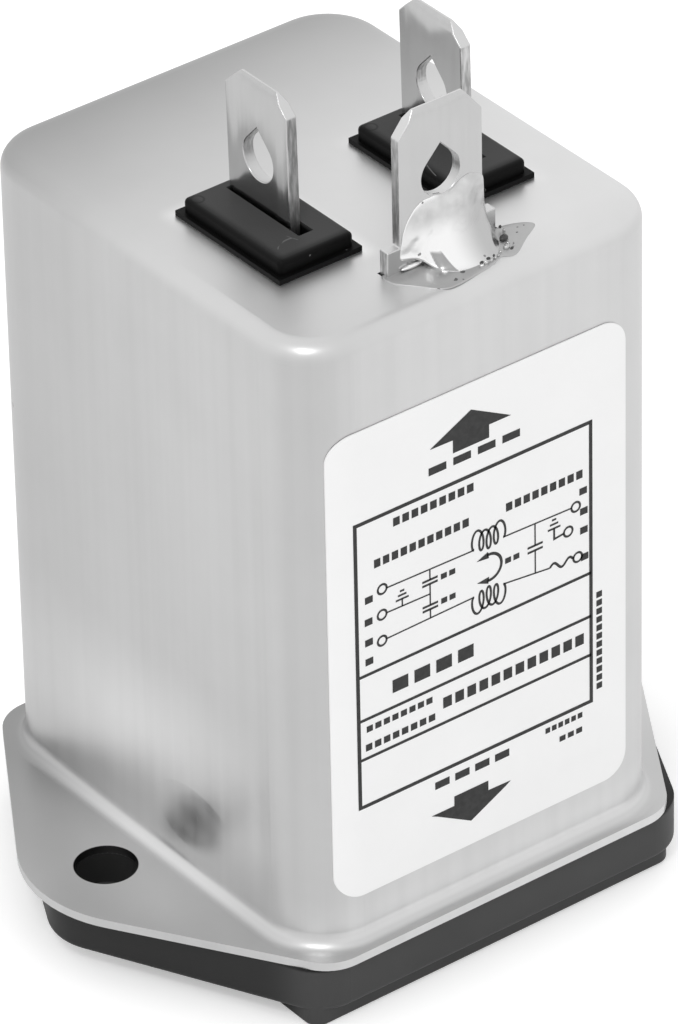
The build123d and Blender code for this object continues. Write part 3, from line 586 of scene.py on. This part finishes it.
def fillet_of_solder():
    """The blob runs between two lines: where it ends on the tab, and where it ends below, on the
    tab's shoulder and on the can. Across, from v = 0 to 1, it goes out as v to a power and down as
    (1 - v) to a power, so it is hollow, plus a little ripple. One flat facet stands on its foot.
    Behind, the loop closes inside the tab and the can top. Beside the points it gives two masks: the
    drawn upper rim, painted as a highlight, and the facet, painted as a shade."""
    steps, across = 200, 72
    # share of the way, right of the tab's middle, in front of its face, above the can (mm)
    upper = swept([(0.0, -3.3, 0.0, 1.15), (0.05, -3.28, 0.03, 1.4), (0.1, -3.22, 0.03, 1.7),
                   (0.15, -3.14, 0.03, 2.1), (0.2, -3.05, 0.03, 2.6), (0.25, -2.75, 0.03, 3.35),
                   (0.31, -2.18, 0.03, 4.03), (0.38, -1.55, 0.03, 4.4), (0.45, -0.76, 0.03, 4.4),
                   (0.52, 0.08, 0.03, 4.25), (0.58, 0.65, 0.03, 4.33), (0.64, 1.35, 0.03, 4.8),
                   (0.7, 2.08, 0.03, 5.0), (0.78, 3.1, 0.03, 4.5), (0.86, 3.13, 0.03, 2.6),
                   (0.93, 3.4, 0.03, 1.1), (1.0, 3.8, 0.05, 0.0)], steps)
    lower = swept([(0.0, -3.3, 0.0, 1.1), (0.05, -3.25, 0.08, 1.08), (0.1, -3.1, 0.14, 1.05),
                   (0.15, -2.85, 0.2, 1.02), (0.2, -2.55, 0.26, 0.98), (0.25, -2.2, 0.34, 0.88),
                   (0.31, -1.8, 0.5, 0.62), (0.38, -1.52, 1.0, 0.3), (0.45, -1.25, 1.65, 0.12),
                   (0.52, -0.7, 2.2, 0.1), (0.58, -0.1, 2.48, 0.08), (0.64, 0.6, 2.5, 0.08),
                   (0.7, 1.45, 2.45, 0.08), (0.78, 2.45, 2.25, 0.08), (0.86, 3.2, 1.5, 0.06),
                   (0.93, 3.65, 0.8, 0.03), (1.0, 3.8, 0.1, 0.0)], steps)
    s = np.linspace(0, 1, steps)[:, None]
    v = np.linspace(0, 1, across)[None, :]
    x = upper[:, :1] + (lower[:, :1] - upper[:, :1]) * v ** 1.2
    out = upper[:, 1:2] + (lower[:, 1:2] - upper[:, 1:2]) * v ** 2.1
    high = lower[:, 2:] + (upper[:, 2:] - lower[:, 2:]) * (1 - v) ** 1.45
    thick = np.sin(np.pi * v) * np.clip(lower[:, 1:2], 0, 1)
    out = out + thick * (0.12 * ripple(x, high, 3.2, 4) + 0.03 * ripple(x, high, 1.1, 5)) + 0.1 * thick
    high = high + thick * 0.05 * ripple(x, out, 1.4, 6)
    down = (v - 0.6) / 0.4
    facet = np.minimum((s - 0.375 - 0.035 * down) / 0.006, (0.455 + 0.085 * down - s) / 0.006)
    facet = np.clip(np.minimum(facet, np.minimum((down - 0.12) / 0.08, (0.99 - v) / 0.02)), 0, 1)
    out = out + 0.12 * facet
    rim = np.exp(-(v / 0.03) ** 2) * np.clip((s - 0.12) / 0.05, 0, 1) * np.clip((0.5 - s) / 0.05, 0, 1)
    # three more columns close the loop: under the foot, and up 0.3 mm inside the tab
    foot_z = np.maximum(lower[:, 2:] - 0.2, -0.05)
    inside = np.full((steps, 1), -0.3)
    shut = [(x[:, -1:], out[:, -1:], foot_z), (x[:, :1], inside, foot_z), (x[:, :1], inside, high[:, :1])]
    x, out, high = (np.concatenate([part, *[row[k] for row in shut]], 1)
                    for k, part in enumerate((x, out, high)))
    masks = [np.concatenate([mask, np.zeros((steps, len(shut)))], 1) for mask in (rim, facet)]
    return np.stack([face[0] + x * 0.001, face[1] - out * 0.001, face[2] + high * 0.001], -1), *masks


def skin_of(grid, wrap_rows=False, wrap_columns=False):
    """Quads between the neighbours of a grid of points; a wrapped side joins last to first."""
    rows, columns = grid.shape[:2]
    number = np.arange(rows * columns).reshape(rows, columns)
    if wrap_rows:
        number = np.concatenate([number, number[:1]], 0)
    if wrap_columns:
        number = np.concatenate([number, number[:, :1]], 1)
    faces = np.stack([number[:-1, :-1], number[1:, :-1], number[1:, 1:], number[:-1, 1:]], -1)
    return grid.reshape(-1, 3), faces.reshape(-1, 4)


shape, rim, facet = fillet_of_solder()
blob = surface("solder_fillet", *skin_of(shape[:, ::-1], wrap_columns=True))
for name, mask in (("rim", rim), ("facet", facet)):
    layer = blob.data.attributes.new(name, "FLOAT", "POINT")
    layer.data.foreach_set("value", mask[:, ::-1].ravel())

# bright at the left and painted darker to the right, a painted shade; cloudy where it is a film high on
# the tab
bright, tree, spot, skin = start_material("solder")
cloud = noise(tree, spot, 650.0, 4.0)
off = place(tree, "ShaderNodeSeparateXYZ", Vector=spot).outputs
right = ramp(tree, off["X"], face[0] - 0.0002, face[0] + 0.0022, 0.97, 0.55)
film_part = ramp(tree, off["Z"], face[2] + 0.0018, face[2] + 0.0036)
tone = mixed(tree, film_part, right, ramp(tree, cloud, 0.36, 0.64, 0.54, 0.76, smooth=False))
# painted highlight on the upper rim, and painted shade on the facet
for name, shade in (("rim", 1.0), ("facet", 0.4)):
    mask = place(tree, "ShaderNodeAttribute", {"attribute_name": name}).outputs["Fac"]
    tone = mixed(tree, mask, tone, shade)
colour = tinted(tree, specks_on(tree, spot, 1900.0, 0.05, 0.25), tone, (0.3, 0.3, 0.3, 1))
cover(tree, skin, colour, grey(tree, cloud, 0.12, 0.34), noise(tree, spot, 900.0, 4.0, 0.6), 0.2, 0.0001)
skin.inputs["Metallic"].default_value = 1.0
blob.data.materials.append(bright)
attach(blob, "filter")
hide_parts("earth_solder")


def puddle(rim, centre, depth):
    """A flat drop: the rim line drawn in towards a centre, as high as (1 - r^6)^(1/2) of its depth."""
    around, inwards, under_skin = 96, 24, 0.02
    closed = np.asarray(rim + rim[:1], float)
    at = np.linspace(0, 1, around + 1)[:-1]
    edge = np.stack([np.interp(at, np.linspace(0, 1, len(closed)), column) for column in closed.T], 1)
    for _ in range(6):
        edge = (np.roll(edge, 1, 0) + 2 * edge + np.roll(edge, -1, 0)) / 4
    r = np.linspace(0, 1, inwards) ** 0.5
    middle = np.asarray(centre)[None, None, :]
    flat = middle + (edge[:, None, :] - middle) * r[None, :, None]
    high = depth * np.sqrt(np.clip(1 - r ** 6, 0, 1)) + 0 * flat[..., 0]
    under = np.concatenate([flat, flat[:, ::-1]], 1)
    high = np.concatenate([high, high * 0 - under_skin], 1)
    return np.stack([face[0] + under[..., 0] * 0.001, face[1] - under[..., 1] * 0.001,
                     face[2] + high * 0.001], -1)


# right of the tab's middle, and out from its face (mm)
flux_rim = [(-4.42, -0.74), (-4.67, 0.13), (-4.37, 0.92), (-3.58, 1.7), (-2.92, 2.65), (-2.22, 3.36),
            (-0.86, 3.27), (0.21, 3.07), (1.4, 2.95), (2.52, 2.4), (2.78, 2.61), (3.36, 2.96),
            (4.89, 1.76), (6.74, 0.81), (5.95, 0.1), (4.9, -0.3), (4.2, -0.3), (1.0, -0.5)]
film = surface("flux_puddle", *skin_of(puddle(flux_rim, (0.6, 1.0), 0.1), wrap_rows=True))
dim, tree, spot, skin = start_material("flux")
cloud = noise(tree, spot, 600.0, 3.0)
colour = tinted(tree, specks_on(tree, spot, 2200.0, 0.12, 0.5), grey(tree, cloud, 0.42, 0.56),
                (0.16, 0.16, 0.16, 1))
tree.links.new(colour, skin.inputs["Base Color"])
tree.links.new(grey(tree, cloud, 0.32, 0.48), skin.inputs["Roughness"])
skin.inputs["Metallic"].default_value = 0.9
film.data.materials.append(dim)
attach(film, "filter")


def beads(spots):
    """Small closed eggs: x = a cos u cos v, y = b sin u cos v, z = c sin v, turned about Z."""
    around, rings = 24, 11
    u, v = np.meshgrid(np.linspace(0, 2 * np.pi, around + 1)[:-1],
                       np.linspace(-np.pi / 2, np.pi / 2, rings + 2)[1:-1])
    skin, faces = [], []
    for number, (x, out, high, a, b, c, turned) in enumerate(spots):
        round_x, round_y = a * np.cos(u) * np.cos(v), b * np.sin(u) * np.cos(v)
        t = math.radians(turned)
        egg = np.stack([x + round_x * np.cos(t) - round_y * np.sin(t),
                        out + round_x * np.sin(t) + round_y * np.cos(t), high + c * np.sin(v)], -1)
        poles = [(x, out, high - c), (x, out, high + c)]
        first = number * (rings * around + 2)
        body = skin_of(egg, wrap_columns=True)[1] + first
        lowest = first + np.arange(around)
        highest = lowest + (rings - 1) * around
        tip = first + rings * around
        faces += body[:, ::-1].tolist()
        faces += np.stack([lowest, np.full(around, tip), np.roll(lowest, -1)], 1)[:, ::-1].tolist()
        faces += np.stack([highest, np.roll(highest, -1), np.full(around, tip + 1)], 1)[:, ::-1].tolist()
        skin += [egg.reshape(-1, 3), np.array(poles)]
    skin = np.concatenate(skin)
    return face + skin * (0.001, -0.001, 0.001), faces


# right, out, above (mm), three radii, turn in plan (degrees)
drops = surface("solder_drops", *beads([
    (-2.5, 0.12, 0.24, 0.82, 0.17, 0.15, 0), (-1.3, 1.75, 0.12, 0.2, 0.1, 0.1, 50),
    (0.9, 2.6, 0.1, 0.14, 0.1, 0.12, 0), (1.25, 2.55, 0.14, 0.12, 0.09, 0.13, 30),
    (1.7, 2.5, 0.12, 0.16, 0.1, 0.15, -20), (2.05, 2.42, 0.12, 0.1, 0.1, 0.12, 0),
    (2.4, 2.32, 0.12, 0.13, 0.08, 0.1, -30), (2.7, 2.1, 0.1, 0.1, 0.1, 0.12, 10),
    (3.35, 1.9, 0.14, 0.26, 0.2, 0.18, -30), (3.7, 1.6, 0.1, 0.13, 0.1, 0.12, 0),
    (4.3, 0.45, 0.16, 0.1, 0.1, 0.2, 0), (3.9, 1.9, 0.08, 0.24, 0.07, 0.1, -50)]))
drops.data.materials.append(bright)
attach(drops, "filter")

burnt = surface("burnt_flux", *beads([
    (0.95, 2.5, 0.26, 0.16, 0.07, 0.1, 0), (1.5, 2.45, 0.3, 0.14, 0.07, 0.1, 20),
    (2.0, 2.35, 0.26, 0.09, 0.06, 0.1, -20), (3.8, 1.05, 0.18, 0.34, 0.24, 0.2, -20),
    (3.55, 2.15, 0.06, 0.2, 0.1, 0.08, -30), (4.2, 0.2, 0.4, 0.1, 0.08, 0.12, 0),
    (4.9, 0.95, 0.06, 0.1, 0.07, 0.05, 0), (5.3, 0.5, 0.05, 0.09, 0.06, 0.05, 0),
    (5.75, 0.55, 0.05, 0.07, 0.05, 0.04, 0)]))
burnt.data.materials.append(coated("burnt_rosin", (0.05, 0.05, 0.05), 0.3, 900.0, 0.3))
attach(burnt, "filter")

# --- Rating label ------------------------------------------------------------
# White film, printed in black and stuck on one long wall and round its left corner.
# The print is a plain frame, two arrows, a wiring plan and rows of dashes for text.
paper, tree, spot, skin = start_material("label_film")
tree.links.new(grey(tree, noise(tree, spot, 240.0, 3.0), 0.9, 0.95), skin.inputs["Base Color"])
skin.inputs["Roughness"].default_value = 0.45
dress(paper, "rating_label")

# millimetres: the upright line that the can's left front corner turns about, and the ink's height
corner_x, corner_y = -10.1, -12.35
film_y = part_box("rating_label")[0][1] * 1000
ink_lift = 0.012


def on_film(flat):
    """Lays label points on the film: past the corner's start, the way along becomes a turn."""
    x, z = flat[:, 0], flat[:, 1]
    turned = np.maximum(corner_x - x, 0) / (corner_y - film_y)
    r = corner_y - film_y + ink_lift
    return np.stack([np.maximum(x, corner_x) - r * np.sin(turned), corner_y - r * np.cos(turned), z],
                    1) * 0.001


def stroke(points, width):
    """A strip of quads along a line, mitred at its corners and cut every half millimetre. The
    width is one number, or one for each point of the line."""
    line = np.asarray(points, float)
    run = np.concatenate([[0], np.cumsum(np.linalg.norm(np.diff(line, axis=0), axis=1))])
    cut = np.unique(np.round(np.concatenate([run, np.arange(0, run[-1], 0.5)]), 4))
    path = np.stack([np.interp(cut, run, column) for column in line.T], 1)
    half = np.interp(cut, run, np.broadcast_to(width, len(line))) / 2
    step = np.diff(path, axis=0)
    step /= np.linalg.norm(step, axis=1)[:, None]
    before = np.concatenate([step[:1], step])
    after = np.concatenate([step, step[-1:]])
    if np.allclose(line[0], line[-1]):
        before[0], after[-1] = step[-1], step[0]
    mean = before + after
    mean /= np.maximum(np.linalg.norm(mean, axis=1), 1e-6)[:, None]
    reach = half / np.maximum((mean * before).sum(1), 0.5)
    side = np.stack([-mean[:, 1], mean[:, 0]], 1) * reach[:, None]
    return np.stack([path - side, path + side], 1)


def ring(x, z, r, width, start=0.0, end=360.0):
    """A stroke along an arc of a circle."""
    a = np.radians(np.linspace(start, end, 33))
    return stroke(np.stack([x + r * np.cos(a), z + r * np.sin(a)], 1), width)


def coil(x0, x1, z, high, turns, width):
    """A stroke with drawn loops: it goes on evenly while it circles, and starts and ends level."""
    t = np.linspace(0, 1, 30 * turns + 1)
    a = 2 * np.pi * turns * t
    return stroke(np.stack([x0 + (x1 - x0) * t - 0.3 * np.sin(a) * np.sign(x1 - x0),
                            z + high * (1 - np.cos(a)) - 0.45 * high * np.sin(np.pi * t)], 1), width)


def dashes(x0, x1, z0, z1, count, upright=False):
    """A row of short bars, as long and as heavy as a printed word of so many letters."""
    edge = np.linspace(x0, x1, count + 1)
    middle, tall = (z0 + z1) / 2, (z1 - z0) * 0.5
    rows = [((a + (b - a) * 0.14, middle), (b - (b - a) * 0.14, middle)) for a, b in
            zip(edge[:-1], edge[1:])]
    return [stroke([p[::-1] for p in row] if upright else row, tall) for row in rows]


frame_w, row_w, wire_w = 0.27, 0.22, 0.11
left, right, bottom, top = -10.4, 7.85, 15.1, 35.9
ink = [stroke([(left, bottom), (right, bottom), (right, top), (left, top), (left, bottom)], frame_w)]
ink += [stroke([(left, z), (right, z)], row_w) for z in (24.77, 21.53, 18.62)]
# two fat arrows: one points up above the frame, one down below it
ink += [stroke([(-1.45, 38.05), (-1.45, 38.99), (-1.45, 39.0), (-1.42, 40.62)], (2.8, 2.8, 6.3, 0.02)),
        stroke([(-1.75, 12.72), (-1.75, 11.99), (-1.75, 11.98), (-1.79, 10.29)], (2.7, 2.7, 6.3, 0.02))]
# wiring plan: two rails with a winding each, a capacitor across, two to earth
ink += [stroke([(6.33, 30.2), (0.96, 30.35)], wire_w), coil(0.96, -1.31, 30.35, 0.72, 4, wire_w * 1.5),
        stroke([(-1.31, 30.35), (-8.1, 30.5)], wire_w),
        stroke([(4.6, 26.5), (0.93, 26.9)], wire_w), coil(0.93, -1.35, 26.9, -0.72, 4, wire_w * 1.5),
        stroke([(-1.35, 26.9), (-8.17, 26.8)], wire_w)]
# the fuse's wave on the lower rail, and a ring at each terminal
wave = np.linspace(0, 1, 31)
ink += [stroke(np.stack([6.47 - 1.87 * wave, 26.4 + 0.1 * wave + 0.24 * np.sin(3 * np.pi * wave)], 1),
               wire_w * 1.6)]
ink += [ring(x, z, 0.34, wire_w * 1.4) for x, z in ((6.66, 30.16), (6.06, 28.59), (6.8, 26.38),
                                                    (-8.42, 30.55), (-8.46, 28.69), (-8.49, 26.79))]
# the capacitor across, the two capacitors to earth, and the earth signs
ink += [stroke([(3.45, 30.3), (3.45, 28.68)], wire_w), stroke([(3.45, 28.32), (3.45, 26.6)], wire_w)]
ink += [stroke([(2.85, z), (4.05, z)], wire_w * 1.5) for z in (28.68, 28.32)]
ink += [stroke([(-4.75, high), (-4.75, low)], wire_w) for high, low in
        ((30.4, 29.66), (29.36, 27.8), (27.5, 26.85))]
ink += [stroke([(-5.35, z), (-4.15, z)], wire_w * 1.5) for z in (29.66, 29.36, 27.8, 27.5)]
ink += [stroke([(-8.12, 28.69), (-4.75, 28.62)], wire_w), stroke([(-6.9, 28.66), (-6.9, 29.2)], wire_w),
        stroke([(5.72, 28.59), (4.95, 28.5), (4.95, 29.3)], wire_w * 1.4)]
ink += [stroke([(x - w, z), (x + w, z)], wire_w * 1.3) for x, z, w in
        ((4.95, 29.3, 0.5), (4.95, 29.62, 0.33), (4.95, 29.94, 0.17), (-6.9, 29.2, 0.5),
         (-6.9, 29.5, 0.33), (-6.9, 29.8, 0.17))]
# a bent arrow with two heads between the windings
ink += [ring(-0.15, 28.6, 0.95, wire_w * 1.9, -100, 100)]
ink += [stroke([(-0.2, z), (-1.1, z2)], (0.5, 0.02)) for z, z2 in ((29.53, 29.4), (27.67, 27.8))]
# text: rows of dashes
for x0, x1, z0, z1, count in ((-5.0, 2.6, 36.9, 38.0, 4), (1.1, 7.3, 31.8, 33.0, 9),
                              (-7.6, -1.2, 34.4, 35.6, 9), (-9.1, -1.6, 32.0, 33.2, 11),
                              (-8.0, -1.2, 22.1, 24.0, 4), (-4.0, 7.4, 19.3, 20.9, 12),
                              (-9.9, -4.6, 20.3, 21.2, 8), (-10.0, -4.4, 18.9, 19.9, 8),
                              (-4.8, 1.5, 13.6, 14.7, 4), (4.1, 7.2, 14.0, 14.8, 6),
                              (5.2, 7.2, 12.9, 13.7, 3), (1.0, 2.3, 28.1, 28.9, 2),
                              (-4.0, -2.7, 29.1, 29.9, 2), (-4.0, -2.7, 27.3, 28.1, 2)):
    ink += dashes(x0, x1, z0, z1, count)
ink += dashes(15.7, 23.2, 8.05, 8.95, 12, upright=True)
ink += [stroke([(x - 0.3, z), (x + 0.3, z)], 0.5) for x, z in
        ((7.25, 31.1), (7.3, 29.6), (7.3, 28.2), (7.35, 26.2), (-9.45, 30.2), (-9.5, 28.6), (-9.5, 27.1),
         (-9.5, 25.7))]

corners, quads = [], []
for strip in ink:
    start = sum(len(part) for part in corners)
    corners.append(on_film(strip.reshape(-1, 2)))
    pair = start + 2 * np.arange(len(strip) - 1)
    quads.append(np.stack([pair, pair + 2, pair + 3, pair + 1], 1))
print_piece = surface("label_print", np.concatenate(corners), np.concatenate(quads), False)
black, tree, spot, skin = start_material("black_ink")
tree.links.new(grey(tree, noise(tree, spot, 2600.0, 2.0), 0.015, 0.05), skin.inputs["Base Color"])
skin.inputs["Roughness"].default_value = 0.5
skin.inputs["Specular IOR Level"].default_value = 0.3
print_piece.data.materials.append(black)
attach(print_piece, "filter")
